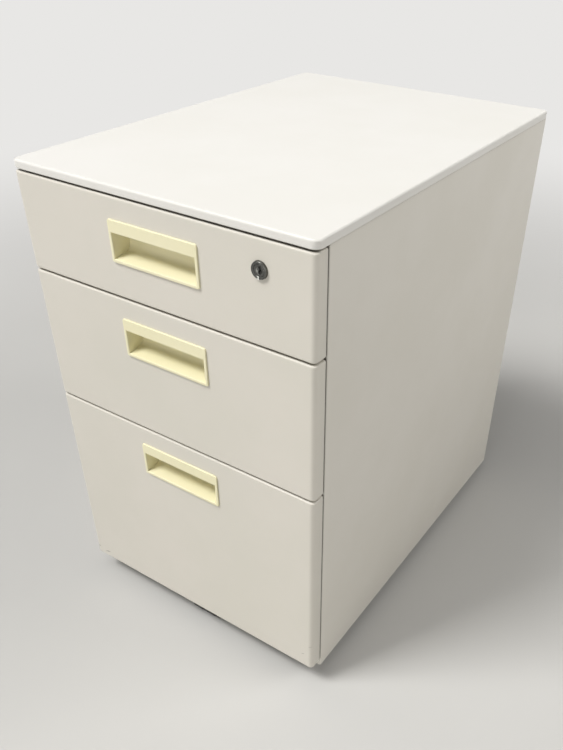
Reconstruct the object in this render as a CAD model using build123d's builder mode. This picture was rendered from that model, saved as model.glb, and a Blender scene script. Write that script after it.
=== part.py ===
from build123d import *
import math
import os

os.makedirs("parts", exist_ok=True)

# A three drawer steel pedestal on castors: sheet steel carcass, two box drawers
# over one filing drawer, moulded scoop handles, one lock for all three drawers.
# Millimetres. The origin is on the floor under the middle of the outline,
# +X is to the right of someone who stands in front, +Y to the back, +Z up.

# Outline seen from above; the height follows from the castors, the fronts and the top plate
top_width = 395.0
top_depth = 560.0

# Top plate, a pressed tray with folded edges
top_thickness = 9.5
top_corner_radius = 9.0
top_edge_radius = 2.5
top_fold_radius = 1.2
top_flange_width = 16.0
top_overhang = 1.5

# Sheet steel and its folds
sheet = 1.0
fold_radius = 2.0

# Drawer fronts, folded pans that reach a little below the base pan
front_skirt = 22.0
top_front_height = 110.5
middle_front_height = 169.5
bottom_front_height = 285.0
front_gap = 2.5
front_return = 18.0
front_corner_radius = 6.0
front_edge_radius = 2.0
liner_clearance = 0.2

# Side panels, back panel and the posts inside
panel_gap = 2.0
panel_drop = 13.0
post_width = 15.0
post_return = 14.0
hat_setback = 140.0
hat_width = 32.0
hat_foot = 12.0

# Base pan and its castor stems
castor_height = 55.0
base_sheet = 1.2
base_lip = 10.0
base_setback = 50.0
castor_side_inset = 63.5
castor_end_inset = 68.0

# Cross rail behind the top drawer's front
rail_setback = 2.0
rail_drop = 21.5
rail_depth = 28.0

# Telescopic slides
slide_end_gap = 5.0
slide_height = 45.0
slide_thickness = 12.7
slide_sheet = 1.2
slide_bend = 1.2
slide_play = 0.4
slide_lip = 5.0
slide_setback = 2.0
outer_reach = 11.0
inner_lip_depth = 6.7
slide_stem_play = 0.1
slide_rise = 31.0
file_slide_rise = 90.0
slot_length = 10.0
slot_width = 4.6
slot_end_gap = 45.0
slot_count = 4

# Drawer boxes
box_end_gap = 37.0
box_sheet = 1.0
box_hem = 6.0
floor_rise = 7.0
file_floor_gap = 13.8
middle_side_drop = 36.0
file_side_drop = 20.0
side_drop_under_lock = 5.0

# Scoop handles
handle_width = 119.0
handle_height = 46.6
handle_drop = 23.4
handle_proud = 2.0
handle_corner_radius = 3.0
handle_edge_radius = 0.8
handle_overlap = 2.0
handle_lip_height = 14.0
handle_lip_thickness = 3.0
handle_bar = 3.5
handle_wall = 1.6
handle_depth = 22.0
handle_ramp = 3.0
handle_scoop_radius = 7.0
handle_play = 0.3
lug_width = 10.0
lug_rise = 1.4
lug_gap = 0.2
lug_inset = 30.0

# Lock
lock_side_inset = 63.5
lock_drop = 30.0
lock_proud = 2.5
lock_flange_diameter = 18.5
lock_bevel = 1.2
barrel_diameter = 16.0
barrel_length = 26.0
barrel_play = 0.2
plug_diameter = 12.0
plug_recess = 0.6
running_play = 0.05
keyway_width = 1.8
keyway_height = 7.0
keyway_depth = 14.0
nut_across_flats = 20.0
nut_thickness = 3.0
tail_side = 6.0
tail_play = 0.1
cam_gap = 0.5
cam_thickness = 2.0
cam_width = 12.0
cam_throw = 12.0
pin_diameter = 4.0
cam_screw_head = 9.0
cam_screw_head_height = 2.4
cam_screw_shank = 3.0
cam_screw_length = 8.0

# Lock bar on the right side, lifted by the cam pin
bar_thickness = 2.0
bar_width = 14.0
bar_setback = 2.0
bar_standoff = 3.0
bar_play = 0.3
arm_margin = 5.0
tab_height = 10.0
tab_reach = 13.0
tab_foot = 12.0
catch_sheet = 1.5
catch_foot = 15.0
catch_gap = 1.5
catch_height = 13.0
catch_reach = 10.0
catch_setback = 2.0
catch_rise = 15.0
guide_wall = 1.1
guide_height = 12.0
guide_rise = 50.0
upper_guide_rise = 90.0

# Castors
wheel_diameter = 40.0
wheel_width = 14.5
wheel_chamfer = 2.0
wheel_play = 0.3
hub_groove_outer = 14.0
hub_groove_inner = 7.0
hub_groove_depth = 2.5
castor_web = 6.0
castor_trail = 18.0
hood_play = 0.8
hood_wall = 1.8
boss_diameter = 20.0
boss_height = 27.0
web_radius = 14.0
axle_diameter = 6.0
stem_diameter = 10.0
stem_reach = 16.0
stem_top = 10.0
collar_diameter = 20.0
collar_thickness = 1.7
stem_nut_flats = 17.0
stem_nut_thickness = 8.0
stem_play = 0.1

# Small castor under the filing drawer, just clear of the floor
roller_diameter = 28.0
roller_width = 17.0
roller_clearance = 1.0
roller_setback = 26.0
roller_axle = 5.0
fork_web = 5.4
fork_radius = 8.0
fork_plate_width = 40.0
fork_plate_length = 28.0
fork_plate = 2.0
fork_plate_shift = 2.0
bracket_width = 64.0
bracket_leg = 26.0
bracket_height = 26.0
stud_diameter = 4.0
stud_head_diameter = 7.0
stud_head_height = 1.6
stud_inset = 6.0
stud_play = 0.1

# Pen tray in the top drawer
tray_depth = 112.0
tray_height = 24.0
tray_wall = 2.0
tray_play = 1.5
tray_corner_radius = 5.0
tray_long_slot = 34.0
tray_divisions = 3

# Rubber buffers between the posts and the fronts
buffer_diameter = 8.0
buffer_play = 0.3
buffer_drop = 20.0

# Levels and planes worked out from the sizes
front_y = -(top_depth - lock_proud) / 2
back_y = front_y + top_depth
base_bottom = castor_height
base_top = base_bottom + base_sheet
front_3_bottom = base_bottom - front_skirt
front_3_top = front_3_bottom + bottom_front_height
front_2_bottom = front_3_top + front_gap
front_2_top = front_2_bottom + middle_front_height
front_1_bottom = front_2_top + front_gap
front_1_top = front_1_bottom + top_front_height
top_underside = front_1_top + front_gap
panel_bottom = front_3_bottom - panel_drop

body_half = top_width / 2 - top_overhang
inner_half = body_half - sheet
post_x = body_half - post_width
post_y = front_y + front_return + panel_gap
liner_y = front_y + front_return
base_front_y = front_y + base_setback
back_inner_y = back_y - 2 * sheet
hat_y = back_y - hat_setback
box_half = post_x - slide_thickness
box_length = top_depth - front_return - box_end_gap
box_back_y = liner_y + box_length
slide_length = box_length - slide_end_gap
slide_y = post_y + slide_setback

lock_x = top_width / 2 - lock_side_inset
lock_z = front_1_top - lock_drop
barrel_radius = barrel_diameter / 2
floor_1 = front_1_bottom + floor_rise
floor_2 = front_2_bottom + floor_rise
floor_3 = base_top + file_floor_gap
side_top_1 = lock_z - barrel_radius - side_drop_under_lock
side_top_2 = front_2_top - middle_side_drop
side_top_3 = front_3_top - file_side_drop
slide_z_1 = floor_1 + slide_rise
slide_z_2 = floor_2 + slide_rise
slide_z_3 = floor_3 + file_slide_rise

rail_y = post_y + rail_setback
rail_bottom = top_underside - rail_drop

cam_y = front_y + barrel_length + cam_gap
bar_y = post_y + post_return + bar_setback
bar_x = post_x + bar_standoff
tab_z_2 = side_top_2 - catch_rise - catch_height - catch_gap
tab_z_3 = side_top_3 - catch_rise - catch_height - catch_gap
bar_bottom = tab_z_3 - tab_height
arm_bottom = lock_z - pin_diameter / 2 - arm_margin - bar_play

castor_x = top_width / 2 - castor_side_inset
castor_points = [
    (side * castor_x, end)
    for end in (front_y + castor_end_inset, back_y - castor_end_inset)
    for side in (-1, 1)
]


def upright_plane(y):
    """A plane that faces the front at this Y, drawn in X and Z."""
    return Plane(origin=(0, y, 0), x_dir=(1, 0, 0), z_dir=(0, -1, 0))


def side_plane(x):
    """A plane that faces the right side at this X, drawn in Y and Z."""
    return Plane(origin=(x, 0, 0), x_dir=(0, 1, 0), z_dir=(1, 0, 0))


def slab(low_1, low_2, high_1, high_2, mode=Mode.ADD):
    """A rectangle between two corners of the sketch."""
    with Locations(((low_1 + high_1) / 2, (low_2 + high_2) / 2)):
        Rectangle(high_1 - low_1, high_2 - low_2, mode=mode)


def write(part, name):
    """Label a finished piece and write it as one file."""
    part.label = name
    export_step(part, f"parts/{name}.step")


# Top plate: a shallow pressed tray, open below, with a return flange all round
with BuildPart() as top_plate:
    with BuildSketch(Plane(origin=(0, (front_y + back_y) / 2, top_underside))):
        RectangleRounded(top_width, top_depth, top_corner_radius)
    extrude(amount=top_thickness)
    fillet(top_plate.edges().group_by(Axis.Z)[-1], top_edge_radius)
    offset(amount=-sheet, openings=top_plate.faces().sort_by(Axis.Z)[0])
    with BuildSketch(Plane(origin=(0, (front_y + back_y) / 2, top_underside))):
        RectangleRounded(top_width, top_depth, top_corner_radius)
        opening_width = top_width - 2 * top_flange_width
        opening_depth = top_depth - 2 * top_flange_width
        Rectangle(opening_width, opening_depth, mode=Mode.SUBTRACT)
    extrude(amount=sheet)
    fillet(top_plate.faces().sort_by(Axis.Z)[0].outer_wire().edges(), top_fold_radius)
write(top_plate.part, "top_plate")


# Side panels: one folded sheet each, with a boxed post along the front edge,
# a flange along the back edge and flanges at the top and the bottom
with BuildPart() as right_side_panel:
    with BuildSketch(Plane.XY.offset(panel_bottom)):
        with BuildLine():
            FilletPolyline(
                (post_x + sheet / 2, post_y + post_return),
                (post_x + sheet / 2, post_y + sheet / 2),
                (body_half - sheet / 2, post_y + sheet / 2),
                (body_half - sheet / 2, back_y - sheet / 2),
                (post_x + sheet / 2, back_y - sheet / 2),
                radius=fold_radius,
            )
        trace(line_width=sheet)
    extrude(amount=top_underside - panel_bottom)
    with BuildSketch(Plane.XY.offset(panel_bottom), Plane.XY.offset(top_underside - sheet)):
        slab(post_x + sheet / 2, post_y + sheet, inner_half, back_y - sheet)
    extrude(amount=sheet)
write(right_side_panel.part, "right_side_panel")

with BuildPart() as left_side_panel:
    mirror(right_side_panel.part, about=Plane.YZ)
write(left_side_panel.part, "left_side_panel")


# Back panel: a flat sheet inside the rear flanges of the side panels
with BuildPart() as back_panel:
    with BuildSketch(upright_plane(back_y - sheet)):
        slab(fold_radius - inner_half, panel_bottom + sheet, inner_half - fold_radius, top_underside - sheet)
    extrude(amount=sheet)
write(back_panel.part, "back_panel")


# Base pan: the floor of the carcass, folded down all round, with four stem holes
with BuildPart() as base_pan:
    with BuildSketch(Plane.XY.offset(base_top)):
        slab(-inner_half, base_front_y, inner_half, back_inner_y)
    extrude(amount=-base_lip)
    fillet(base_pan.edges().filter_by(Axis.Z), fold_radius + base_sheet)
    offset(amount=-base_sheet, openings=base_pan.faces().sort_by(Axis.Z)[0])
    with BuildSketch(Plane.XY.offset(base_top)):
        with Locations(castor_points):
            Circle(stem_diameter / 2 + stem_play)
    extrude(amount=-base_lip, mode=Mode.SUBTRACT)
write(base_pan.part, "base_pan")


# Cross rail: ties the two posts under the top plate, and the cam locks behind it
with BuildPart() as top_front_rail:
    with BuildSketch(side_plane(-post_x)):
        with BuildLine():
            FilletPolyline(
                (rail_y + sheet / 2, rail_bottom),
                (rail_y + sheet / 2, top_underside - sheet / 2),
                (rail_y + rail_depth, top_underside - sheet / 2),
                radius=fold_radius,
            )
        trace(line_width=sheet)
    extrude(amount=2 * post_x)
write(top_front_rail.part, "top_front_rail")


# Rear posts: two hat sections welded inside the side panels, where the slides are fixed
with BuildPart() as rear_posts:
    for side in (-1, 1):
        face = side * (post_x + sheet / 2)
        foot = side * (inner_half - sheet / 2)
        with BuildSketch(Plane.XY.offset(base_top)):
            with BuildLine():
                FilletPolyline(
                    (foot, hat_y - hat_foot),
                    (foot, hat_y),
                    (face, hat_y),
                    (face, hat_y + hat_width),
                    (foot, hat_y + hat_width),
                    (foot, hat_y + hat_width + hat_foot),
                    radius=fold_radius,
                )
            trace(line_width=sheet)
        extrude(amount=top_underside - sheet - base_top)
write(rear_posts.part, "rear_posts")


# Slides: lipped channels that run inside each other along Y
def channel(side, path, slotted):
    """One slide member, folded along half a path that is mirrored about the slide's middle."""
    level, points = path
    upper = [(side * x, level + rise) for x, rise in points]
    lower = [(side * x, level - rise) for x, rise in reversed(points)]
    with BuildPart() as member:
        with BuildSketch(upright_plane(slide_y)):
            with BuildLine():
                FilletPolyline(*upper, *lower, radius=slide_bend)
            trace(line_width=slide_sheet)
        extrude(amount=-slide_length)
        if slotted:
            web_x = points[-1][0]
            with BuildSketch(side_plane(side * web_x - slide_sheet)):
                with Locations((slide_y + slide_length / 2, level)):
                    with GridLocations(slot_pitch, 0, slot_count, 1):
                        SlotOverall(slot_length, slot_width)
            extrude(amount=2 * slide_sheet, mode=Mode.SUBTRACT)
    return member.part


half_sheet = slide_sheet / 2
outer_flange = slide_height / 2 - half_sheet
middle_flange = outer_flange - slide_sheet - slide_play
outer_web_x = post_x - half_sheet
outer_lip_x = post_x - outer_reach + half_sheet
middle_web_x = outer_web_x - slide_sheet - slide_play
middle_lip_x = outer_lip_x + slide_sheet + slide_play
inner_web_x = box_half + half_sheet
inner_lip_x = inner_web_x + inner_lip_depth
outer_lip_end = slide_height / 2 - slide_lip
middle_lip_end = middle_flange - slide_lip + half_sheet
slot_pitch = (slide_length - 2 * slot_end_gap) / (slot_count - 1)


def outer_path(level):
    return level, [(outer_lip_x, outer_lip_end), (outer_lip_x, outer_flange), (outer_web_x, outer_flange)]


def middle_path(level):
    lip_end = (middle_lip_x, middle_lip_end)
    return level, [lip_end, (middle_lip_x, middle_flange), (middle_web_x, middle_flange)]


def inner_path(level, flange, lip_end):
    """The drawer's member: its lips stay behind the lips of the channel around it."""
    stem = lip_end - slide_stem_play - half_sheet
    return level, [(inner_lip_x, flange - half_sheet - slide_play), (inner_lip_x, stem), (inner_web_x, stem)]


for number, level in ((1, slide_z_1), (2, slide_z_2), (3, slide_z_3)):
    for side, side_name in ((-1, "left"), (1, "right")):
        outer = channel(side, outer_path(level), True)
        write(outer, f"drawer_{number}_{side_name}_outer_slide")
        if number == 3:
            middle = channel(side, middle_path(level), False)
            write(middle, f"drawer_{number}_{side_name}_middle_slide")
            inner = channel(side, inner_path(level, middle_flange, middle_lip_end), True)
        else:
            inner = channel(side, inner_path(level, outer_flange, outer_lip_end), True)
        write(inner, f"drawer_{number}_{side_name}_inner_slide")


# Drawer fronts: pans folded from one sheet, with a window for the handle's bowl
bowl_half = handle_width / 2 - handle_overlap


def handle_window(top):
    """The window that the handle's bowl goes through, in the front and in the liner."""
    slab(
        -bowl_half - handle_play,
        top - handle_drop - handle_height + handle_overlap - handle_play,
        bowl_half + handle_play,
        top - handle_drop - handle_overlap + handle_play,
    )


def lock_hole():
    with Locations((lock_x, lock_z)):
        Circle(barrel_radius + barrel_play)


def drawer_front(bottom, top, has_lock):
    with BuildPart() as front:
        with BuildSketch(upright_plane(front_y)):
            slab(-body_half, bottom, body_half, top)
        extrude(amount=-front_return)
        fillet(front.edges().filter_by(Axis.Z).group_by(Axis.Y)[0], front_corner_radius)
        rims = front.faces().filter_by(Axis.Z).edges()
        fillet(rims - rims.filter_by(Axis.X).group_by(Axis.Y)[-1], front_edge_radius)
        offset(amount=-sheet, openings=front.faces().sort_by(Axis.Y)[-1])
        with BuildSketch(upright_plane(front_y)):
            handle_window(top)
            if has_lock:
                lock_hole()
        extrude(amount=-front_return / 2, mode=Mode.SUBTRACT)
    return front.part


write(drawer_front(front_1_bottom, front_1_top, True), "drawer_1_front")
write(drawer_front(front_2_bottom, front_2_top, False), "drawer_2_front")
write(drawer_front(front_3_bottom, front_3_top, False), "drawer_3_front")


# Scoop handles: a moulded bezel with a hooded lip over a bowl for the fingers
def scoop_handle(front_top):
    top = front_top - handle_drop
    bottom = top - handle_height
    sill = bottom + handle_bar
    lip = top - handle_lip_height
    roof = top - handle_overlap - handle_wall
    face_y = front_y - handle_proud
    back = front_y + handle_depth
    lip_back = face_y + handle_lip_thickness
    with BuildPart() as handle:
        with BuildSketch(upright_plane(front_y)):
            with Locations((0, (top + bottom) / 2)):
                RectangleRounded(handle_width, handle_height, handle_corner_radius)
        extrude(amount=handle_proud)
        fillet(handle.faces().sort_by(Axis.Y)[0].edges(), handle_edge_radius)
        with BuildSketch(side_plane(-bowl_half)):
            slab(front_y, bottom + handle_overlap, back + handle_wall, top - handle_overlap)
        extrude(amount=2 * bowl_half)
        fillet(
            handle.edges().filter_by(Axis.X).group_by(Axis.Y)[-1].sort_by(Axis.Z)[0],
            handle_scoop_radius + handle_wall,
        )
        with BuildSketch(side_plane(handle_wall - bowl_half)):
            with BuildLine():
                Polyline((back, roof), (lip_back, roof), (lip_back, lip), (face_y, lip), (face_y, sill))
                Line((face_y, sill), (back - handle_scoop_radius, sill + handle_ramp))
                RadiusArc(
                    (back - handle_scoop_radius, sill + handle_ramp),
                    (back, sill + handle_ramp + handle_scoop_radius),
                    -handle_scoop_radius,
                )
                Line((back, sill + handle_ramp + handle_scoop_radius), (back, roof))
            make_face()
        extrude(amount=2 * (bowl_half - handle_wall), mode=Mode.SUBTRACT)
        mouth = handle.faces().sort_by(Axis.Y)[0].inner_wires()[0].edges()
        fillet(mouth, handle_edge_radius)
        shell = top - handle_overlap
        lug_front = liner_y + box_sheet + lug_gap
        for start in (lug_inset - bowl_half, bowl_half - lug_inset - lug_width):
            with BuildSketch(side_plane(start)):
                Polygon(
                    (lug_front, shell - lug_rise),
                    (lug_front, shell + lug_rise),
                    (back + handle_wall, shell - handle_wall / 2),
                    align=None,
                )
            extrude(amount=lug_width)
    return handle.part


write(scoop_handle(front_1_top), "drawer_1_handle")
write(scoop_handle(front_2_top), "drawer_2_handle")
write(scoop_handle(front_3_top), "drawer_3_handle")


# Drawer boxes: an open steel tub behind a liner that closes the back of the front
def drawer_box(bottom, top, floor, side_top, has_lock):
    with BuildPart() as box:
        with BuildSketch(Plane.XY.offset(floor)):
            slab(-box_half, liner_y, box_half, box_back_y)
        extrude(amount=side_top - floor)
        offset(amount=-box_sheet, openings=box.faces().sort_by(Axis.Z)[-1])
        with BuildSketch(Plane.XY.offset(side_top - box_sheet)):
            slab(-box_half, liner_y, box_half, box_back_y)
            slab(
                box_hem - box_half,
                liner_y + box_sheet,
                box_half - box_hem,
                box_back_y - box_hem,
                mode=Mode.SUBTRACT,
            )
        extrude(amount=box_sheet)
        edge = sheet + liner_clearance
        with BuildSketch(upright_plane(liner_y)):
            slab(edge - body_half, bottom + edge, body_half - edge, top - edge)
        extrude(amount=sheet)
        fillet(box.edges().filter_by(Axis.Y).filter_by(lambda e: e.length < 2 * sheet), front_edge_radius)
        with BuildSketch(upright_plane(liner_y - sheet)):
            handle_window(top)
            if has_lock:
                lock_hole()
        extrude(amount=-sheet - box_sheet, mode=Mode.SUBTRACT)
    return box.part


write(drawer_box(front_1_bottom, front_1_top, floor_1, side_top_1, True), "drawer_1_box")
write(drawer_box(front_2_bottom, front_2_top, floor_2, side_top_2, False), "drawer_2_box")
write(drawer_box(front_3_bottom, front_3_top, floor_3, side_top_3, False), "drawer_3_box")


# Catches: angles welded to the right side of the lower boxes, for the lock bar's tabs
def drawer_catch(side_top):
    leg_y = bar_y + bar_thickness + catch_setback + catch_sheet / 2
    foot_x = box_half + catch_sheet / 2
    with BuildPart() as catch:
        with BuildSketch(Plane.XY.offset(side_top - catch_rise)):
            with BuildLine():
                FilletPolyline(
                    (box_half + catch_reach, leg_y),
                    (foot_x, leg_y),
                    (foot_x, leg_y + catch_foot),
                    radius=fold_radius,
                )
            trace(line_width=catch_sheet)
        extrude(amount=-catch_height)
    return catch.part


write(drawer_catch(side_top_2), "drawer_2_catch")
write(drawer_catch(side_top_3), "drawer_3_catch")


# Pen tray: a moulding that rests on the floor of the top drawer, against its front
with BuildPart() as pen_tray:
    tray_front = liner_y + box_sheet + tray_play
    tray_half = box_half - box_sheet - tray_play
    tray_middle = tray_front + tray_depth / 2
    tray_floor = floor_1 + box_sheet
    with BuildSketch(Plane(origin=(0, tray_middle, tray_floor))):
        RectangleRounded(2 * tray_half, tray_depth, tray_corner_radius)
    extrude(amount=tray_height)
    cell_depth = tray_depth - tray_long_slot - 3 * tray_wall
    cell_width = (2 * tray_half - (tray_divisions + 1) * tray_wall) / tray_divisions
    with BuildSketch(Plane.XY.offset(tray_floor + tray_height)):
        with Locations((0, tray_front + tray_depth - tray_wall - tray_long_slot / 2)):
            RectangleRounded(2 * (tray_half - tray_wall), tray_long_slot, tray_corner_radius - tray_wall)
        with Locations((0, tray_front + tray_wall + cell_depth / 2)):
            with GridLocations(cell_width + tray_wall, 0, tray_divisions, 1):
                RectangleRounded(cell_width, cell_depth, tray_corner_radius - tray_wall)
    extrude(amount=tray_wall - tray_height, mode=Mode.SUBTRACT)
write(pen_tray.part, "pen_tray")


# Lock: a barrel with a bevelled flange, held by a nut behind the liner
def lock_plane(y):
    return Plane(origin=(lock_x, y, lock_z), x_dir=(1, 0, 0), z_dir=(0, -1, 0))


with BuildPart() as lock_barrel:
    with BuildSketch(lock_plane(front_y)):
        Circle(lock_flange_diameter / 2)
    extrude(amount=lock_proud)
    chamfer(lock_barrel.edges().group_by(Axis.Y)[0], lock_bevel)
    with BuildSketch(lock_plane(front_y)):
        Circle(barrel_radius)
    extrude(amount=-barrel_length)
    with BuildSketch(lock_plane(front_y - lock_proud)):
        Circle(plug_diameter / 2 + running_play)
    extrude(amount=-barrel_length - lock_proud, mode=Mode.SUBTRACT)
write(lock_barrel.part, "lock_barrel")

with BuildPart() as lock_nut:
    with BuildSketch(lock_plane(liner_y)):
        RegularPolygon(nut_across_flats / 2, 6, major_radius=False)
        Circle(barrel_radius + running_play, mode=Mode.SUBTRACT)
    extrude(amount=-nut_thickness)
write(lock_nut.part, "lock_nut")

# The plug turns in the barrel: a keyway with a ward in front, a square tail behind
with BuildPart() as lock_plug:
    plug_front = front_y - lock_proud + plug_recess
    with BuildSketch(lock_plane(plug_front)):
        Circle(plug_diameter / 2)
    extrude(amount=plug_front - cam_y)
    with BuildSketch(lock_plane(plug_front)):
        Rectangle(keyway_width, keyway_height)
        with Locations((keyway_width / 2, 0)):
            RegularPolygon(keyway_width, 4)
    extrude(amount=-keyway_depth, mode=Mode.SUBTRACT)
    with BuildSketch(lock_plane(cam_y)):
        Rectangle(tail_side, tail_side)
    extrude(amount=-cam_thickness)
    with BuildSketch(lock_plane(cam_y + cam_thickness)):
        Circle(cam_screw_shank / 2 + running_play)
    extrude(amount=cam_screw_length, mode=Mode.SUBTRACT)
write(lock_plug.part, "lock_plug")

# The cam points left when unlocked; its pin reaches back into the lock bar's slot
with BuildPart() as lock_cam:
    with BuildSketch(lock_plane(cam_y)):
        with Locations((-cam_throw / 2, 0)):
            SlotCenterToCenter(cam_throw, cam_width)
        Rectangle(tail_side + 2 * tail_play, tail_side + 2 * tail_play, mode=Mode.SUBTRACT)
    extrude(amount=-cam_thickness)
    with BuildSketch(lock_plane(cam_y + cam_thickness)):
        with Locations((-cam_throw, 0)):
            Circle(pin_diameter / 2)
    extrude(amount=cam_y + cam_thickness - bar_y - bar_thickness - bar_play)
write(lock_cam.part, "lock_cam")

with BuildPart() as cam_screw:
    with BuildSketch(lock_plane(cam_y + cam_thickness)):
        Circle(cam_screw_head / 2)
    extrude(amount=-cam_screw_head_height)
    chamfer(cam_screw.edges().group_by(Axis.Y)[-1], cam_screw_head_height / 4)
    with BuildSketch(lock_plane(cam_y + cam_thickness)):
        Circle(cam_screw_shank / 2)
    extrude(amount=cam_screw_length)
write(cam_screw.part, "cam_screw")


# Lock bar: a flat strip behind the right post, with an arm for the cam pin.
# Turning the plug a quarter lifts it by the cam's throw, and the pin runs along
# the slot and a little up in it because it moves on an arc.
quarter_turn = math.pi / 2
arc_angle = math.acos(1 / quarter_turn)
arc_rise = cam_throw * (math.sin(arc_angle) - arc_angle / quarter_turn)
slot_left = lock_x - cam_throw - pin_diameter / 2 - bar_play
slot_right = lock_x + pin_diameter / 2 + bar_play
slot_bottom = lock_z - pin_diameter / 2 - bar_play
slot_top = lock_z + pin_diameter / 2 + arc_rise + bar_play
arm_top = slot_top + arm_margin

with BuildPart() as lock_bar:
    with BuildSketch(Plane(origin=(0, 0, bar_bottom))):
        slab(bar_x, bar_y, bar_x + bar_thickness, bar_y + bar_width)
    extrude(amount=arm_top - bar_bottom)
    with BuildSketch(upright_plane(bar_y)):
        slab(slot_left - arm_margin, arm_bottom, bar_x + bar_thickness, arm_top)
        slab(slot_left, slot_bottom, slot_right, slot_top, mode=Mode.SUBTRACT)
    extrude(amount=-bar_thickness)
    fillet(lock_bar.edges().filter_by(Axis.Y).group_by(Axis.X)[0], bar_thickness)
write(lock_bar.part, "lock_bar")

# Two angles welded to the strip are the tabs that rise in front of the catches
with BuildPart() as lock_bar_tabs:
    for tab_z in (tab_z_2, tab_z_3):
        with BuildSketch(Plane.XY.offset(tab_z)):
            with BuildLine():
                FilletPolyline(
                    (bar_x - tab_reach, bar_y + bar_thickness / 2),
                    (bar_x - bar_thickness / 2, bar_y + bar_thickness / 2),
                    (bar_x - bar_thickness / 2, bar_y + tab_foot),
                    radius=fold_radius,
                )
            trace(line_width=bar_thickness)
        extrude(amount=-tab_height)
write(lock_bar_tabs.part, "lock_bar_tabs")

# Two moulded guides on the right side panel hold the bar
with BuildPart() as lock_bar_guides:
    for guide_z in (tab_z_3 + guide_rise, tab_z_2 + upper_guide_rise):
        with BuildSketch(Plane.XY.offset(guide_z)):
            slab(
                bar_x - bar_play - guide_wall,
                bar_y - bar_play - guide_wall,
                inner_half,
                bar_y + bar_width + bar_play + guide_wall,
            )
            slab(
                bar_x - bar_play,
                bar_y - bar_play,
                bar_x + bar_thickness + bar_play,
                bar_y + bar_width + bar_play,
                mode=Mode.SUBTRACT,
            )
        extrude(amount=guide_height)
write(lock_bar_guides.part, "lock_bar_guides")


# Buffers: rubber discs on the posts that the drawer fronts close against
with BuildPart() as drawer_buffers:
    buffer_x = (post_x + body_half) / 2
    with BuildSketch(upright_plane(post_y)):
        for top in (front_1_top, front_2_top, front_3_top):
            with Locations((-buffer_x, top - buffer_drop), (buffer_x, top - buffer_drop)):
                Circle(buffer_diameter / 2)
    extrude(amount=panel_gap - buffer_play)
write(drawer_buffers.part, "drawer_buffers")


# Castor stems: fixed pins under the base pan, with a collar below and a nut above
with BuildPart() as castor_stems:
    with BuildSketch(Plane.XY.offset(base_top + stem_top)):
        with Locations(castor_points):
            Circle(stem_diameter / 2)
    extrude(amount=-stem_top - base_sheet - stem_reach)
    with BuildSketch(Plane.XY.offset(base_bottom)):
        with Locations(castor_points):
            Circle(collar_diameter / 2)
    extrude(amount=-collar_thickness)
write(castor_stems.part, "castor_stems")

with BuildPart() as castor_nuts:
    with BuildSketch(Plane.XY.offset(base_top)):
        with Locations(castor_points):
            RegularPolygon(stem_nut_flats / 2, 6, major_radius=False)
            Circle(stem_diameter / 2 + stem_play, mode=Mode.SUBTRACT)
    extrude(amount=stem_nut_thickness)
write(castor_nuts.part, "castor_nuts")


# Castors: a hooded body with two wheels, which trail behind the stem
wheel_radius = wheel_diameter / 2
wheel_inner = castor_web / 2 + wheel_play
wheel_outer = wheel_inner + wheel_width
well_radius = wheel_radius + hood_play
hood_radius = well_radius + hood_wall
boss_top = base_bottom - collar_thickness - wheel_play
stem_end = base_bottom - stem_reach


def castor_body(x, y):
    axle_y = y + castor_trail
    with BuildPart() as body:
        with BuildSketch(side_plane(x - wheel_outer)):
            with Locations((axle_y, wheel_radius)):
                Circle(hood_radius)
            below_axle = wheel_radius - hood_radius
            slab(axle_y - hood_radius, below_axle, axle_y + hood_radius, wheel_radius, mode=Mode.SUBTRACT)
        extrude(amount=2 * wheel_outer)
        with BuildSketch(Plane(origin=(x, y, boss_top))):
            Circle(boss_diameter / 2)
        extrude(amount=-boss_height)
        for start, width in ((x + castor_web / 2, 2 * wheel_width), (x - castor_web / 2, -2 * wheel_width)):
            with BuildSketch(side_plane(start)):
                with Locations((axle_y, wheel_radius)):
                    Circle(well_radius)
            extrude(amount=width, mode=Mode.SUBTRACT)
        with BuildSketch(side_plane(x - castor_web / 2)):
            with Locations((axle_y, wheel_radius)):
                Circle(web_radius)
        extrude(amount=castor_web)
        with BuildSketch(side_plane(x - wheel_outer)):
            with Locations((axle_y, wheel_radius)):
                Circle(axle_diameter / 2)
        extrude(amount=2 * wheel_outer)
        with BuildSketch(Plane(origin=(x, y, boss_top))):
            Circle(stem_diameter / 2 + running_play)
        extrude(amount=stem_end - wheel_play - boss_top, mode=Mode.SUBTRACT)
    return body.part


def twin_wheel(x, y, z, radius, width, bore, inner, side):
    """A wheel from its inner face outwards, with a groove round the hub."""
    with BuildPart() as wheel:
        with BuildSketch(side_plane(x + side * inner)):
            with Locations((y, z)):
                Circle(radius)
        extrude(amount=side * width)
        chamfer(wheel.edges(), wheel_chamfer)
        with BuildSketch(side_plane(x + side * (inner + width))):
            with Locations((y, z)):
                Circle(radius * hub_groove_outer / wheel_radius)
                Circle(radius * hub_groove_inner / wheel_radius, mode=Mode.SUBTRACT)
        extrude(amount=-side * hub_groove_depth, mode=Mode.SUBTRACT)
        with BuildSketch(side_plane(x + side * inner)):
            with Locations((y, z)):
                Circle(bore / 2 + running_play)
        extrude(amount=side * width, mode=Mode.SUBTRACT)
    return wheel.part


castor_names = ("front_left", "front_right", "rear_left", "rear_right")
for castor_name, (x, y) in zip(castor_names, castor_points):
    write(castor_body(x, y), f"{castor_name}_castor_body")
    for side, side_name in ((-1, "left"), (1, "right")):
        wheel = twin_wheel(
            x, y + castor_trail, wheel_radius, wheel_radius, wheel_width, axle_diameter, wheel_inner, side
        )
        write(wheel, f"{castor_name}_castor_{side_name}_wheel")


# Fifth castor: keeps the pedestal from tipping when the filing drawer is out
roller_y = front_y + roller_setback
roller_z = roller_clearance + roller_diameter / 2
fork_top = front_3_bottom
roller_inner = fork_web / 2 + wheel_play

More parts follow.
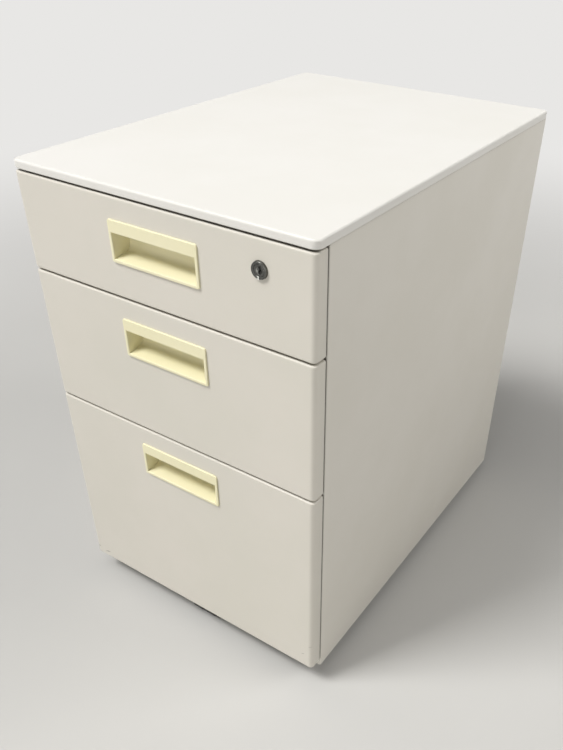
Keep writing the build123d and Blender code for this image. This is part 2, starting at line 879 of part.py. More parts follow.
plate_y = roller_y + fork_plate_shift
stud_x = fork_plate_width / 2 - stud_inset
stud_points = [(-stud_x, plate_y), (stud_x, plate_y)]

with BuildPart() as fifth_castor_bracket:
    with BuildSketch(side_plane(-bracket_width / 2)):
        with BuildLine():
            FilletPolyline(
                (liner_y + sheet / 2, fork_top + bracket_height),
                (liner_y + sheet / 2, fork_top + sheet / 2),
                (liner_y + bracket_leg, fork_top + sheet / 2),
                radius=fold_radius,
            )
        trace(line_width=sheet)
    extrude(amount=bracket_width)
    with BuildSketch(Plane.XY.offset(fork_top)):
        with Locations(stud_points):
            Circle(stud_diameter / 2 + stud_play)
    extrude(amount=sheet, mode=Mode.SUBTRACT)
write(fifth_castor_bracket.part, "fifth_castor_bracket")

with BuildPart() as fifth_castor_body:
    with BuildSketch(Plane(origin=(0, plate_y, fork_top))):
        RectangleRounded(fork_plate_width, fork_plate_length, handle_corner_radius)
    extrude(amount=-fork_plate)
    with BuildSketch(Plane.XY.offset(fork_top)):
        with Locations(stud_points):
            Circle(stud_diameter / 2)
    extrude(amount=sheet)
    with BuildSketch(Plane.XY.offset(fork_top + sheet)):
        with Locations(stud_points):
            Circle(stud_head_diameter / 2)
    extrude(amount=stud_head_height)
    with BuildSketch(side_plane(-fork_web / 2)):
        with Locations((roller_y, roller_z)):
            Circle(fork_radius)
        slab(roller_y - fork_radius, roller_z, roller_y + fork_radius, fork_top - fork_plate)
    extrude(amount=fork_web)
    with BuildSketch(side_plane(-fork_plate_width / 2)):
        with Locations((roller_y, roller_z)):
            Circle(roller_axle / 2)
    extrude(amount=fork_plate_width)
write(fifth_castor_body.part, "fifth_castor_body")

for side, side_name in ((-1, "left"), (1, "right")):
    roller = twin_wheel(
        0, roller_y, roller_z, roller_diameter / 2, roller_width, roller_axle, roller_inner, side
    )
    write(roller, f"fifth_castor_{side_name}_wheel")
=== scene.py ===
import math

import bmesh
import bpy
from mathutils import Matrix, Vector


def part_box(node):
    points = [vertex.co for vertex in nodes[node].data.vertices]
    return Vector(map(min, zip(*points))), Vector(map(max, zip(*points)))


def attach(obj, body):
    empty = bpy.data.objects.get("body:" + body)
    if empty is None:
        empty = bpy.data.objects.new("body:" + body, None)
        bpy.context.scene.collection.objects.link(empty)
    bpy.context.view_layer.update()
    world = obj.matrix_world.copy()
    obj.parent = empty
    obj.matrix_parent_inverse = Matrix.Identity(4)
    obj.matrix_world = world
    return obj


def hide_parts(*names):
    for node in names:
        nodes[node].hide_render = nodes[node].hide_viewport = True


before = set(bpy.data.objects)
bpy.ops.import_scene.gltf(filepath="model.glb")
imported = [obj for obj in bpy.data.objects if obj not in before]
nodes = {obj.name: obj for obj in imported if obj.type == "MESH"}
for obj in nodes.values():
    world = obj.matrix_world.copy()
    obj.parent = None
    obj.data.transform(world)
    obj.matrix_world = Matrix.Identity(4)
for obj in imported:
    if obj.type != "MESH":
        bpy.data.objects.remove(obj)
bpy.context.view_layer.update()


# ---------------------------------------------------------------- top plate
# A tray pressed from sheet steel, with a rounded edge and a return flange below.
# It is powder coated in the same warm light grey as the rest, and lies on the carcass; here that
# coat is written a little lighter, painted light for the stronger light on the top.

def add_node(tree, kind, **settings):
    node = tree.nodes.new(kind)
    for key, value in settings.items():
        setattr(node, key, value)
    return node


def effect(name, takes, gives):
    """An empty node group for one effect, with its named inputs and outputs."""
    group = bpy.data.node_groups.new(name, "ShaderNodeTree")
    for label, kind, value in takes:
        socket = group.interface.new_socket(label, in_out="INPUT", socket_type=f"NodeSocket{kind}")
        socket.default_value = value
    for label, kind in gives:
        group.interface.new_socket(label, in_out="OUTPUT", socket_type=f"NodeSocket{kind}")
    return group, add_node(group, "NodeGroupInput"), add_node(group, "NodeGroupOutput")


def maths(tree, operation, first, second=None, third=None):
    """A Math node; each value is a number or another node's socket."""
    node = add_node(tree, "ShaderNodeMath", operation=operation)
    for socket, value in zip(node.inputs, (first, second, third)):
        if isinstance(value, (int, float)):
            socket.default_value = value
        elif value is not None:
            tree.links.new(value, socket)
    return node.outputs[0]


def ramp(tree, value, low, high, to_low=0.0, to_high=1.0):
    """A smooth step from to_low at low to to_high at high."""
    node = add_node(tree, "ShaderNodeMapRange", interpolation_type="SMOOTHSTEP")
    limits = {"From Min": low, "From Max": high, "To Min": to_low, "To Max": to_high}
    for label, number in limits.items():
        if isinstance(number, (int, float)):
            node.inputs[label].default_value = number
        else:
            tree.links.new(number, node.inputs[label])
    tree.links.new(value, node.inputs["Value"])
    return node.outputs["Result"]


def noise(tree, place, scale, detail=2.0, roughness=0.5):
    node = add_node(tree, "ShaderNodeTexNoise")
    node.inputs["Detail"].default_value = detail
    node.inputs["Roughness"].default_value = roughness
    if isinstance(scale, (int, float)):
        node.inputs["Scale"].default_value = scale
    else:
        tree.links.new(scale, node.inputs["Scale"])
    tree.links.new(place, node.inputs["Vector"])
    return node.outputs["Fac"]


def mixed(tree, factor, first, second):
    """Two colours mixed by a mask; each colour is a tuple or a socket."""
    node = add_node(tree, "ShaderNodeMix", data_type="RGBA")
    tree.links.new(factor, node.inputs["Factor"])
    for socket, value in ((node.inputs[6], first), (node.inputs[7], second)):
        if isinstance(value, tuple):
            socket.default_value = (*value, 1.0)
        else:
            tree.links.new(value, socket)
    return node.outputs[2]


def written(red, green, blue):
    """A colour as it is read off a screen, 0 to 255, in the shader's own scale."""
    def part(value):
        value /= 255
        return value / 12.92 if value <= 0.04045 else ((value + 0.055) / 1.055) ** 2.4
    return part(red), part(green), part(blue)


# The coat's fine stipple, and the slow drift of its tone over a panel
coat_grain, takes, gives = effect(
    "coat_grain",
    [("Pitch", "Float", 0.0009)],
    [("Height", "Float"), ("Tone", "Float")],
)
here = add_node(coat_grain, "ShaderNodeTexCoord").outputs["Object"]
stipple = noise(coat_grain, here, maths(coat_grain, "DIVIDE", 1.0, takes.outputs["Pitch"]), 1.0)
waves = noise(coat_grain, here, 45.0, 1.0)
rise = maths(coat_grain, "MULTIPLY_ADD", waves, 0.6, stipple)
coat_grain.links.new(rise, gives.inputs["Height"])
cloud = ramp(coat_grain, noise(coat_grain, here, 5.0, 4.0, 0.6), 0.3, 0.7)
coat_grain.links.new(cloud, gives.inputs["Tone"])

# Folds and edges, found by rounding the surface a little and comparing
edge_wear, takes, gives = effect(
    "edge_wear",
    [("Reach", "Float", 0.001), ("Break", "Float", 0.5)],
    [("Mask", "Float"), ("Fold", "Float"), ("Soft Normal", "Vector")],
)
rounded = add_node(edge_wear, "ShaderNodeBevel", samples=4)
edge_wear.links.new(takes.outputs["Reach"], rounded.inputs["Radius"])
straight = add_node(edge_wear, "ShaderNodeNewGeometry")
facing = add_node(edge_wear, "ShaderNodeVectorMath", operation="DOT_PRODUCT")
edge_wear.links.new(rounded.outputs["Normal"], facing.inputs[0])
edge_wear.links.new(straight.outputs["Normal"], facing.inputs[1])
turned = maths(edge_wear, "SUBTRACT", 1.0, facing.outputs["Value"])
here = add_node(edge_wear, "ShaderNodeTexCoord").outputs["Object"]
patches = ramp(edge_wear, noise(edge_wear, here, 70.0, 3.0, 0.65), takes.outputs["Break"], 0.85)
fold = ramp(edge_wear, turned, 0.02, 0.25)
edge_wear.links.new(fold, gives.inputs["Fold"])
edge_wear.links.new(maths(edge_wear, "MULTIPLY", fold, patches), gives.inputs["Mask"])
edge_wear.links.new(rounded.outputs["Normal"], gives.inputs["Soft Normal"])

# Painted shade in seams, where two pieces stand close together: darker where ambient occlusion
# finds the surface shut in
seam_shade, takes, gives = effect(
    "seam_shade",
    [("Reach", "Float", 0.004), ("Amount", "Float", 0.6), ("Spread", "Float", 0.62),
     ("Full", "Float", 0.15)],
    [("Mask", "Float")],
)
openness = add_node(seam_shade, "ShaderNodeAmbientOcclusion", samples=8)
seam_shade.links.new(takes.outputs["Reach"], openness.inputs["Distance"])
shut_in = ramp(seam_shade, openness.outputs["AO"], takes.outputs["Spread"], takes.outputs["Full"])
painted_shade = maths(seam_shade, "MULTIPLY", shut_in, takes.outputs["Amount"])
seam_shade.links.new(painted_shade, gives.inputs["Mask"])

# Dust that settles on faces that look up
settled_dust, takes, gives = effect(
    "settled_dust", [("Amount", "Float", 0.3)], [("Mask", "Float")]
)
surface = add_node(settled_dust, "ShaderNodeNewGeometry")
upward = add_node(settled_dust, "ShaderNodeSeparateXYZ")
settled_dust.links.new(surface.outputs["Normal"], upward.inputs[0])
here = add_node(settled_dust, "ShaderNodeTexCoord").outputs["Object"]
flock = ramp(settled_dust, noise(settled_dust, here, 24.0, 5.0, 0.65), 0.25, 0.8)
lying = ramp(settled_dust, upward.outputs["Z"], 0.3, 1.0)
fallen = maths(settled_dust, "MULTIPLY", flock, lying)
kept = maths(settled_dust, "MULTIPLY", fallen, takes.outputs["Amount"])
settled_dust.links.new(kept, gives.inputs["Mask"])


def placed(tree, group, **values):
    """One effect in a material, with its own numbers."""
    node = add_node(tree, "ShaderNodeGroup", node_tree=group)
    for label, value in values.items():
        node.inputs[label.replace("_", " ")].default_value = value
    return node.outputs


def finish_of(name):
    """A new material with its shader; returns the material, its tree and the shader."""
    material = bpy.data.materials.new(name)
    material.use_nodes = True
    tree = material.node_tree
    return material, tree, tree.nodes["Principled BSDF"]


def relief(tree, shader, height, distance, normal=None):
    """Raises the surface by a height map, over the given depth in metres."""
    bump = add_node(tree, "ShaderNodeBump")
    bump.inputs["Strength"].default_value = 1.0
    bump.inputs["Distance"].default_value = distance
    tree.links.new(height, bump.inputs["Height"])
    if normal is not None:
        tree.links.new(normal, bump.inputs["Normal"])
    tree.links.new(bump.outputs["Normal"], shader.inputs["Normal"])


def powder_coat(
    name, colour, deep, rough=0.38, stipple=0.00004, dust=0.0,
    fold=0.0009, reach=0.004, seam_darkness=0.5, spread=0.62, full=0.15,
):
    """Powder coated sheet steel: two close tones, a fine stipple, edges rubbed smooth and a little
    lighter, and painted shade in its seams.
    """
    material, tree, shader = finish_of(name)
    rubbed_tone = (0.93, 0.92, 0.88)
    dust_tone, shade_tone = written(170, 165, 155), written(92, 87, 78)
    grain = placed(tree, coat_grain, Pitch=0.0011)
    edges = placed(tree, edge_wear, Reach=fold, Break=0.35)
    tone = mixed(tree, grain["Tone"], colour, deep)
    # Edges rubbed lighter in patches; on the fronts, with their wider fold, this lighter band also
    # paints part of the highlight along the rims
    tone = mixed(tree, maths(tree, "MULTIPLY", edges["Mask"], 0.35), tone, rubbed_tone)
    if dust:
        lying = placed(tree, settled_dust, Amount=dust)
        tone = mixed(tree, lying["Mask"], tone, dust_tone)
    # Painted shade: darker towards the shade tone where pieces stand close together or overhang
    shaded_seams = placed(tree, seam_shade, Reach=reach, Amount=seam_darkness, Spread=spread, Full=full)
    tone = mixed(tree, shaded_seams["Mask"], tone, shade_tone)
    tree.links.new(tone, shader.inputs["Base Color"])
    coat = ramp(tree, grain["Tone"], 0.0, 1.0, rough, rough + 0.06)
    rubbed = ramp(tree, edges["Fold"], 0.0, 1.0, 1.0, 0.55)
    tree.links.new(maths(tree, "MULTIPLY", coat, rubbed), shader.inputs["Roughness"])
    shader.inputs["Specular IOR Level"].default_value = 0.42
    relief(tree, shader, grain["Height"], stipple, edges["Soft Normal"])
    return material, tree, shader, tone


def finished(material, *names):
    """Gives CAD nodes a finish through their own material slots."""
    for name in names:
        node = nodes[name]
        if not node.material_slots:
            node.data.materials.append(material)
        for slot in node.material_slots:
            slot.material = material


# Painted light: written lighter than the sides and fronts for the stronger light on the top; its
# strong, wide seam shade darkens it where it stands close over the fronts and panels
top_paint, *_ = powder_coat(
    "top_paint", written(224, 222, 217), written(221, 219, 213),
    rough=0.36, seam_darkness=0.9, spread=0.88, full=0.4,
)
finished(top_paint, "top_plate")


# ---------------------------------------------------------------- carcass
# Two folded side panels, a back sheet, a base pan, a cross rail and two hat posts.
# All are 1 mm steel, spot welded together and then coated in one colour.

# Painted shadow: the wide, strong seam shade darkens the sides under the top plate's overhang and
# in the slits beside the drawer fronts
panel_paint, *_ = powder_coat(
    "panel_paint", written(219, 215, 206), written(215, 211, 201),
    reach=0.007, seam_darkness=0.95, spread=0.97, full=0.6,
)
finished(panel_paint, "right_side_panel", "left_side_panel", "back_panel")

inner_paint, *_ = powder_coat(
    "inner_paint", written(204, 201, 192), written(197, 193, 183), rough=0.5, dust=0.5
)
finished(inner_paint, "base_pan", "top_front_rail", "rear_posts")


# ---------------------------------------------------------------- slides
# Three-member slides on the filing drawer and two-member ones on the boxes above.
# Roll-formed from bright zinc plated strip, greased, and welded or hooked in place.

rolled_steel, takes, gives = effect(
    "rolled_steel",
    [("Spangle", "Float", 0.5)],
    [("Height", "Float"), ("Tone", "Float"), ("Streak", "Float")],
)
here = add_node(rolled_steel, "ShaderNodeTexCoord").outputs["Object"]
drawn = add_node(rolled_steel, "ShaderNodeMapping")
drawn.inputs["Scale"].default_value = (900.0, 12.0, 900.0)
rolled_steel.links.new(here, drawn.inputs["Vector"])
streak = noise(rolled_steel, drawn.outputs["Vector"], 1.0, 3.0, 0.6)
crystals = add_node(rolled_steel, "ShaderNodeTexVoronoi", feature="F1")
crystals.inputs["Scale"].default_value = 260.0
rolled_steel.links.new(here, crystals.inputs["Vector"])
flake = add_node(rolled_steel, "ShaderNodeSeparateColor")
rolled_steel.links.new(crystals.outputs["Color"], flake.inputs["Color"])
film = ramp(rolled_steel, noise(rolled_steel, here, 18.0, 4.0, 0.6), 0.3, 0.75)
spotted = maths(rolled_steel, "MULTIPLY", flake.outputs["Red"], takes.outputs["Spangle"])
dulled = maths(rolled_steel, "MULTIPLY_ADD", spotted, 0.5, film)
ridged = maths(rolled_steel, "MULTIPLY_ADD", streak, 0.7, spotted)
rolled_steel.links.new(dulled, gives.inputs["Tone"])
rolled_steel.links.new(streak, gives.inputs["Streak"])
rolled_steel.links.new(ridged, gives.inputs["Height"])


def zinc_plate(name, bright, dull, rough=0.3):
    """Zinc plated strip with drawn streaks and spangle, duller where dust lies."""
    material, tree, shader = finish_of(name)
    rubbed_tone, dust_tone = (0.86, 0.86, 0.87), written(140, 134, 122)
    steel = placed(tree, rolled_steel, Spangle=0.45)
    edges = placed(tree, edge_wear, Reach=0.0005, Break=0.3)
    dust = placed(tree, settled_dust, Amount=0.3)
    tone = mixed(tree, steel["Tone"], bright, dull)
    tone = mixed(tree, maths(tree, "MULTIPLY", edges["Mask"], 0.5), tone, rubbed_tone)
    tone = mixed(tree, dust["Mask"], tone, dust_tone)
    tree.links.new(tone, shader.inputs["Base Color"])
    tree.links.new(ramp(tree, dust["Mask"], 0.0, 1.0, 0.95, 0.5), shader.inputs["Metallic"])
    polish = ramp(tree, steel["Streak"], 0.2, 0.8, rough - 0.06, rough + 0.12)
    tree.links.new(polish, shader.inputs["Roughness"])
    relief(tree, shader, steel["Height"], 0.00002, edges["Soft Normal"])
    return material


slide_zinc = zinc_plate("slide_zinc", written(206, 208, 210), written(176, 176, 172))
for name in nodes:
    if name.endswith("_slide"):
        finished(slide_zinc, name)


# ---------------------------------------------------------------- drawer fronts
# Pans folded from one sheet each, 18 mm deep, with rounded rims and a window for the handle.
# The filing drawer's front has a few rubbed marks at its lower corners.

scuff, takes, gives = effect(
    "scuff",
    [("Centre", "Vector", (0, 0, 0)), ("Length", "Float", 0.01), ("Width", "Float", 0.001),
     ("Slope", "Float", 0.0)],
    [("Mask", "Float")],
)
here = add_node(scuff, "ShaderNodeTexCoord").outputs["Object"]
away = add_node(scuff, "ShaderNodeVectorMath", operation="SUBTRACT")
scuff.links.new(here, away.inputs[0])
scuff.links.new(takes.outputs["Centre"], away.inputs[1])
apart = add_node(scuff, "ShaderNodeSeparateXYZ")
scuff.links.new(away.outputs["Vector"], apart.inputs[0])
along = maths(scuff, "DIVIDE", apart.outputs["X"], takes.outputs["Length"])
level = maths(
    scuff, "MULTIPLY_ADD", apart.outputs["X"], takes.outputs["Slope"], apart.outputs["Z"]
)
bow = maths(scuff, "MULTIPLY", maths(scuff, "MULTIPLY", along, along), takes.outputs["Width"])
across = maths(scuff, "DIVIDE", maths(scuff, "ADD", level, bow), takes.outputs["Width"])
reach = maths(
    scuff, "SQRT",
    maths(scuff, "ADD", maths(scuff, "POWER", along, 2.0), maths(scuff, "POWER", across, 2.0)),
)
ragged = noise(scuff, here, 900.0, 3.0, 0.7)
frayed = maths(scuff, "MULTIPLY_ADD", ragged, 0.9, reach)
scuff.links.new(ramp(scuff, frayed, 1.25, 0.75), gives.inputs["Mask"])

# The fronts' wider fold widens the lighter rubbed band on their rims, which paints part of the rim
# highlight
front_high, front_low, front_fold = written(213, 208, 198), written(209, 205, 194), 0.0022
front_paint, *_ = powder_coat("front_paint", front_high, front_low, fold=front_fold)
finished(front_paint, "drawer_1_front", "drawer_2_front")

marked_paint, tree, shader, tone = powder_coat(
    "marked_front_paint", front_high, front_low, fold=front_fold
)
# Each mark's centre, length, width, slope and how dark it is
rub_marks = (
    ((-0.1735, -0.2788, 0.0425), 0.0085, 0.0011, -0.35, 0.85),
    ((-0.1905, -0.2760, 0.0455), 0.0030, 0.0014, 0.10, 0.80),
    ((0.1815, -0.2788, 0.0555), 0.0034, 0.0009, -0.45, 0.60),
    ((0.1925, -0.2770, 0.0750), 0.0040, 0.0008, -0.30, 0.45),
)
for centre, length, width, slope, dark in rub_marks:
    mark = placed(tree, scuff, Centre=centre, Length=length, Width=width, Slope=slope)["Mask"]
    tone = mixed(tree, maths(tree, "MULTIPLY", mark, dark), tone, written(88, 84, 74))
tree.links.new(tone, shader.inputs["Base Color"])
finished(marked_paint, "drawer_3_front")


# ---------------------------------------------------------------- drawer boxes
# Open steel tubs with a hemmed rim, behind a liner that closes the back of the front.
# They are coated thinner and smoother than the outside, and the two lower ones carry
# the catches that the lock blocks.

box_paint, *_ = powder_coat(
    "box_paint", written(207, 205, 197), written(199, 196, 186),
    rough=0.36, stipple=0.00002, dust=0.35,
)
finished(box_paint, "drawer_1_box", "drawer_2_box", "drawer_3_box")
finished(box_paint, "drawer_2_catch", "drawer_3_catch")


# ---------------------------------------------------------------- handles
# One moulding each in cream plastic: a bezel with a hooded lip over a bowl for the fingers.
# It is pushed in from the front, and its edges are soft from the mould.

def moulded(name, colour, deep, rough, grain=0.00003):
    """Injection moulded plastic with a fine spark-eroded grain, lighter rubbed edges and painted
    shade in its hollows and seams.
    """
    material, tree, shader = finish_of(name)
    skin = placed(tree, coat_grain, Pitch=0.0006)
    edges = placed(tree, edge_wear, Reach=0.0006, Break=0.45)
    shaded_seams = placed(tree, seam_shade, Reach=0.003, Amount=0.5)
    rubbed_tone = tuple(min(1.0, part * 1.08 + 0.01) for part in colour)
    shade_tone = tuple(part * 0.35 for part in deep)
    tone = mixed(tree, skin["Tone"], colour, deep)
    tone = mixed(tree, maths(tree, "MULTIPLY", edges["Mask"], 0.5), tone, rubbed_tone)
    # Painted shade: darker towards the shade tone in hollows and seams, such as the handles'
    # finger bowls
    tone = mixed(tree, shaded_seams["Mask"], tone, shade_tone)
    tree.links.new(tone, shader.inputs["Base Color"])
    gloss = ramp(tree, skin["Tone"], 0.0, 1.0, rough, rough + 0.08)
    tree.links.new(gloss, shader.inputs["Roughness"])
    relief(tree, shader, skin["Height"], grain, edges["Soft Normal"])
    return material, tree, shader, tone


handle_plastic, *_ = moulded(
    "handle_plastic", written(234, 228, 194), written(231, 225, 188), 0.32
)
finished(handle_plastic, "drawer_1_handle", "drawer_2_handle", "drawer_3_handle")


# ---------------------------------------------------------------- lock
# A barrel with a bevelled flange and a plug with a keyway, cast and dark nickel plated.
# Behind it are a zinc plated nut, cam and screw.

nickel, tree, shader = finish_of("dark_nickel")
skin = placed(tree, coat_grain, Pitch=0.0005)
edges = placed(tree, edge_wear, Reach=0.0003, Break=0.2)
tone = mixed(tree, skin["Tone"], written(112, 112, 108), written(84, 84, 81))
tone = mixed(tree, edges["Mask"], tone, written(205, 205, 200))
# Painted shade: the keyway, the bore and the groove go almost black where they are shut in
shaded_seams = placed(tree, seam_shade, Reach=0.003, Amount=0.95)
tone = mixed(tree, shaded_seams["Mask"], tone, written(14, 14, 13))
tree.links.new(tone, shader.inputs["Base Color"])
shader.inputs["Metallic"].default_value = 0.95
tree.links.new(ramp(tree, skin["Tone"], 0.0, 1.0, 0.12, 0.3), shader.inputs["Roughness"])
relief(tree, shader, skin["Height"], 0.00002, edges["Soft Normal"])


def turned_rings(bm, centre, profile, steps):
    """Rings of vertices round the lock's axis, one for each (radius, depth) of a profile."""
    rings = []
    for radius, depth in profile:
        ring = []
        for step in range(steps):
            angle = math.tau * step / steps
            ring.append(bm.verts.new((
                centre[0] + radius * math.cos(angle),
                centre[1] + depth,
                centre[2] + radius * math.sin(angle),
            )))
        rings.append(ring)
    for inner, outer in zip(rings, rings[1:]):
        for step in range(steps):
            follow = (step + 1) % steps
            bm.faces.new((inner[step], inner[follow], outer[follow], outer[step]))
    return rings


def piece(name, bm, material):
    """A finished mesh object from a bmesh, smooth except over its sharp edges."""
    sharp = math.radians(35)
    bmesh.ops.recalc_face_normals(bm, faces=bm.faces)
    for face in bm.faces:
        face.smooth = True
    for edge in bm.edges:
        if len(edge.link_faces) == 2 and edge.calc_face_angle() > sharp:
            edge.smooth = False
    mesh = bpy.data.meshes.new(name)
    bm.to_mesh(mesh)
    bm.free()
    mesh.materials.append(material)
    made = bpy.data.objects.new(name, mesh)
    bpy.context.scene.collection.objects.link(made)
    return made


lock_low, lock_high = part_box("lock_barrel")
lock_front = lock_low.y
lock_centre = Vector(((lock_low.x + lock_high.x) / 2, lock_front, (lock_low.z + lock_high.z) / 2))
front_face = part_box("drawer_2_front")[0].y
proud = front_face - lock_front
flange, facets = (lock_high.x - lock_low.x) / 2, 64
thread_start, thread_end = proud + 0.0012, lock_high.y - lock_front
thread_top, thread_root, thread_pitch = 0.0080, 0.0074, 0.0010
plug_radius, bore_radius, tail_radius = 0.0060, 0.00605, 0.0030

# Radius and depth behind the face: bore, inner bevel, groove, outer bevel and skirt
barrel_profile = [
    (bore_radius, 0.0020), (bore_radius, 0.0008),
    (bore_radius + 0.0003, 0.0003), (bore_radius + 0.0007, 0.0),
    (flange - 0.0017, 0.0), (flange - 0.0013, 0.0003),
    (flange - 0.0010, 0.0003), (flange - 0.0007, 0.0),
    (flange - 0.0005, 0.0001), (flange - 0.0001, proud - 0.0007),
    (flange, proud - 0.0004), (flange, proud), (thread_top, proud),
]
depth = thread_start
while depth < thread_end - thread_pitch:
    barrel_profile += [(thread_top, depth), (thread_root, depth + thread_pitch / 2)]
    depth += thread_pitch
barrel_profile += [(thread_top - 0.0003, thread_end), (bore_radius, thread_end)]
bm = bmesh.new()
turned_rings(bm, lock_centre, barrel_profile + barrel_profile[:1], facets)
bmesh.ops.remove_doubles(bm, verts=bm.verts, dist=1e-6)
barrel = piece("lock_barrel_turned", bm, nickel)
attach(barrel, "drawer_1")
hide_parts("lock_barrel")

plug_low, plug_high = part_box("lock_plug")
plug_face = plug_low.y - lock_front
tail_start, tail_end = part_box("lock_cam")[0].y - lock_front, plug_high.y - lock_front
plug_profile = [
    (0.0056, plug_face + 0.0001), (plug_radius - 0.0001, plug_face),
    (plug_radius, plug_face + 0.0002), (plug_radius, tail_start),
    (tail_radius, tail_start), (tail_radius, tail_end),
]
bm = bmesh.new()
rings = turned_rings(bm, lock_centre, plug_profile, facets)
bm.faces.new(rings[0])
bm.faces.new(rings[-1])
plug = piece("lock_plug_turned", bm, nickel)

# The keyway's outline, stepped as a key is, and drawn into the plug from in front of it
key_way = [
    (-0.0009, -0.0036), (0.0009, -0.0036), (0.0009, -0.0014), (0.0024, 0.0002),
    (0.0009, 0.0018), (0.0009, 0.0036), (-0.0009, 0.0036), (-0.0009, 0.0020),
    (-0.0002, 0.0008), (-0.0002, -0.0008), (-0.0009, -0.0020),
]
key_way_start, key_way_length = lock_front - 0.001, 0.015
bm = bmesh.new()
mouth = [
    bm.verts.new((lock_centre.x + x, key_way_start, lock_centre.z + z)) for x, z in key_way
]
drawn_out = bmesh.ops.extrude_face_region(bm, geom=[bm.faces.new(mouth)])
ends = [item for item in drawn_out["geom"] if isinstance(item, bmesh.types.BMVert)]
bmesh.ops.translate(bm, verts=ends, vec=(0, key_way_length, 0))
cutter = piece("key_way_cutter", bm, nickel)
cut = plug.modifiers.new("key_way", "BOOLEAN")
cut.operation, cut.solver, cut.object = "DIFFERENCE", "EXACT", cutter
bpy.context.view_layer.update()
carved = plug.evaluated_get(bpy.context.evaluated_depsgraph_get())
carved_mesh = bpy.data.meshes.new_from_object(carved)
plug.modifiers.clear()
plug.data = carved_mesh
bpy.data.objects.remove(cutter)
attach(plug, "lock_plug")
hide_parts("lock_plug")

lock_zinc = zinc_plate("lock_zinc", written(200, 198, 190), written(168, 164, 150), rough=0.34)
finished(lock_zinc, "lock_nut", "lock_cam", "cam_screw", "lock_bar", "lock_bar_tabs")


# ---------------------------------------------------------------- guides, buffers and pen tray
# The lock bar runs in two natural nylon guides, the fronts close on black rubber discs,
# and the pen tray is a dark grey moulding that lies loose in the top drawer.

nylon, *_ = moulded("guide_nylon", written(228, 226, 216), written(220, 217, 204), 0.45)
finished(nylon, "lock_bar_guides")
rubber, *_ = moulded("buffer_rubber", written(38, 38, 38), written(48, 47, 45), 0.7, grain=0.00006)
finished(rubber, "drawer_buffers")
tray_plastic, *_ = moulded(
    "tray_plastic", written(98, 99, 102), written(88, 89, 92), 0.5, grain=0.00006
)
finished(tray_plastic, "pen_tray")


# ---------------------------------------------------------------- castors
# Twin wheel castors in black nylon on zinc plated pins, and a small one under the
# filing drawer that keeps the pedestal from tipping.

def dusty_nylon(name, colour, deep, rough, dust):
    """Moulded nylon with floor dust on what looks up."""
    material, tree, shader, tone = moulded(name, colour, deep, rough)
    lying = placed(tree, settled_dust, Amount=dust)
    tone = mixed(tree, lying["Mask"], tone, written(120, 112, 100))
    tree.links.new(tone, shader.inputs["Base Color"])
    return material


castor_black = dusty_nylon("castor_black", written(40, 40, 41), written(52, 51, 50), 0.42, 0.6)
wheel_black = dusty_nylon("wheel_black", written(46, 46, 47), written(62, 60, 57), 0.55, 0.5)
for name in nodes:
    if name.endswith("_castor_body"):
        finished(castor_black, name)
    if name.endswith("_wheel"):
        finished(wheel_black, name)
finished(lock_zinc, "castor_stems", "castor_nuts", "fifth_castor_bracket")


# ---------------------------------------------------------------- floor, light and camera
# A plain pale floor, a large soft lamp high on the left in front, weaker ones overhead,
# low in front and on the right, and the place from which the pedestal is seen.

floor_reach, shadow_reach, open_ground = 30.0, 0.7, 2.4
pale_ground = (*written(232, 231, 229), 1.0)
floor_mesh = bpy.data.meshes.new("floor")
bm = bmesh.new()
bmesh.ops.create_grid(bm, x_segments=4, y_segments=4, size=floor_reach)
bm.to_mesh(floor_mesh)
bm.free()
floor = bpy.data.objects.new("floor", floor_mesh)
bpy.context.scene.collection.objects.link(floor)
floor_paint, tree, shader = finish_of("floor_paint")
here = add_node(tree, "ShaderNodeTexCoord").outputs["Object"]
tone = mixed(tree, noise(tree, here, 3.0, 4.0), written(188, 187, 184), written(194, 193, 190))
tree.links.new(tone, shader.inputs["Base Color"])
shader.inputs["Roughness"].default_value = 0.9


def seen_directly(tree):
    """1 where the eye, a reflection or a clear material looks straight at the surface."""
    seen = add_node(tree, "ShaderNodeLightPath").outputs
    mirrored = maths(tree, "ADD", seen["Is Glossy Ray"], seen["Is Transmission Ray"])
    return maths(tree, "ADD", seen["Is Camera Ray"], mirrored)


# Away from the pedestal the floor runs out into a plain pale ground
distance = add_node(tree, "ShaderNodeVectorMath", operation="LENGTH")
tree.links.new(here, distance.inputs[0])
ground = add_node(tree, "ShaderNodeEmission")
ground.inputs["Color"].default_value = pale_ground
far = ramp(tree, distance.outputs["Value"], shadow_reach, open_ground)
fade = maths(tree, "MULTIPLY", far, seen_directly(tree))
run_out = add_node(tree, "ShaderNodeMixShader")
tree.links.new(fade, run_out.inputs[0])
tree.links.new(shader.outputs[0], run_out.inputs[1])
tree.links.new(ground.outputs[0], run_out.inputs[2])
tree.links.new(run_out.outputs[0], tree.nodes["Material Output"].inputs["Surface"])
floor_mesh.materials.append(floor_paint)


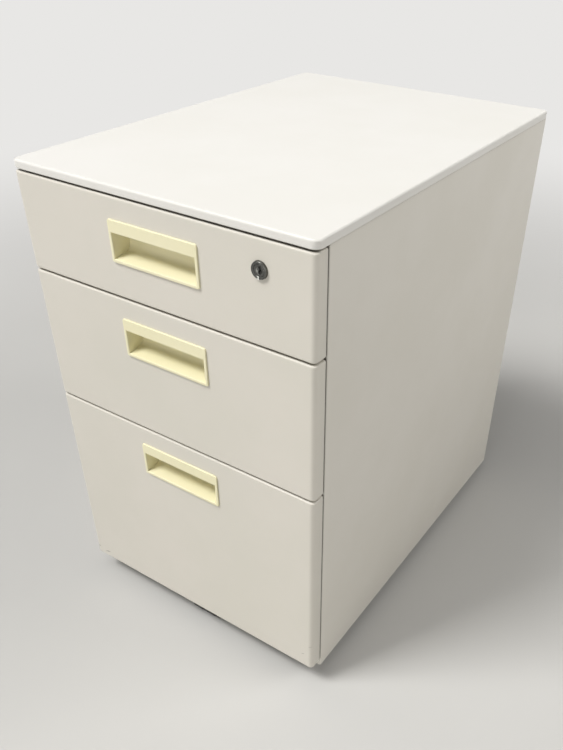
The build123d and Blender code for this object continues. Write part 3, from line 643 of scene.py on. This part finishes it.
def soft_lamp(name, place, aim, width, power, colour):
    lamp = bpy.data.lights.new(name, "AREA")
    lamp.shape, lamp.size = "SQUARE", width
    lamp.energy, lamp.color = power, colour
    holder = bpy.data.objects.new(name, lamp)
    holder.location = place
    holder.rotation_euler = (Vector(aim) - Vector(place)).to_track_quat("-Z", "Y").to_euler()
    bpy.context.scene.collection.objects.link(holder)


white, warm_white = (1.0, 0.995, 0.985), (1.0, 0.985, 0.96)
soft_lamp("key_lamp", (-2.9, -3.8, 7.0), (0.0, 0.0, 0.35), 2.6, 600.0, white)
soft_lamp("ceiling_lamp", (-0.3, -1.3, 4.0), (0.0, 0.0, 0.3), 2.0, 36.0, white)
soft_lamp("low_lamp", (0.9, -3.0, 0.7), (0.0, 0.0, 0.3), 1.3, 18.0, warm_white)
soft_lamp("side_lamp", (2.3, 1.05, 2.05), (0.0, 0.0, 0.35), 1.5, 38.8, warm_white)

world = bpy.data.worlds.new("room")
world.use_nodes = True
bpy.context.scene.world = world
tree = world.node_tree
room_light, backdrop = tree.nodes["Background"], add_node(tree, "ShaderNodeBackground")
room_light.inputs["Color"].default_value = (0.97, 0.98, 1.0, 1.0)
room_light.inputs["Strength"].default_value = 0.07
backdrop.inputs["Color"].default_value = pale_ground
backdrop.inputs["Strength"].default_value = 1.0
choice = add_node(tree, "ShaderNodeMixShader")
tree.links.new(seen_directly(tree), choice.inputs[0])
tree.links.new(room_light.outputs[0], choice.inputs[1])
tree.links.new(backdrop.outputs[0], choice.inputs[2])
tree.links.new(choice.outputs[0], tree.nodes["World Output"].inputs["Surface"])

eye = Vector((0.5353, -0.7945, 0.8632))
look, up = Vector((-0.4284, 0.6746, -0.6012)), Vector((-0.3405, 0.4957, 0.7989))
camera_data = bpy.data.cameras.new("photo_camera")
camera = bpy.data.objects.new("photo_camera", camera_data)
bpy.context.scene.collection.objects.link(camera)
right = look.cross(up).normalized()
up = right.cross(look).normalized()
turn = Matrix((right, up, -look.normalized())).transposed()
camera.matrix_world = Matrix.Translation(eye) @ turn.to_4x4()
camera_data.sensor_fit = "AUTO"
camera_data.sensor_width = 36.0
camera_data.lens = 36.5
camera_data.shift_x, camera_data.shift_y = -0.0572, 0.0942
camera_data.clip_start, camera_data.clip_end = 0.01, 100.0
bpy.context.scene.camera = camera
bpy.context.scene.view_settings.view_transform = "Standard"
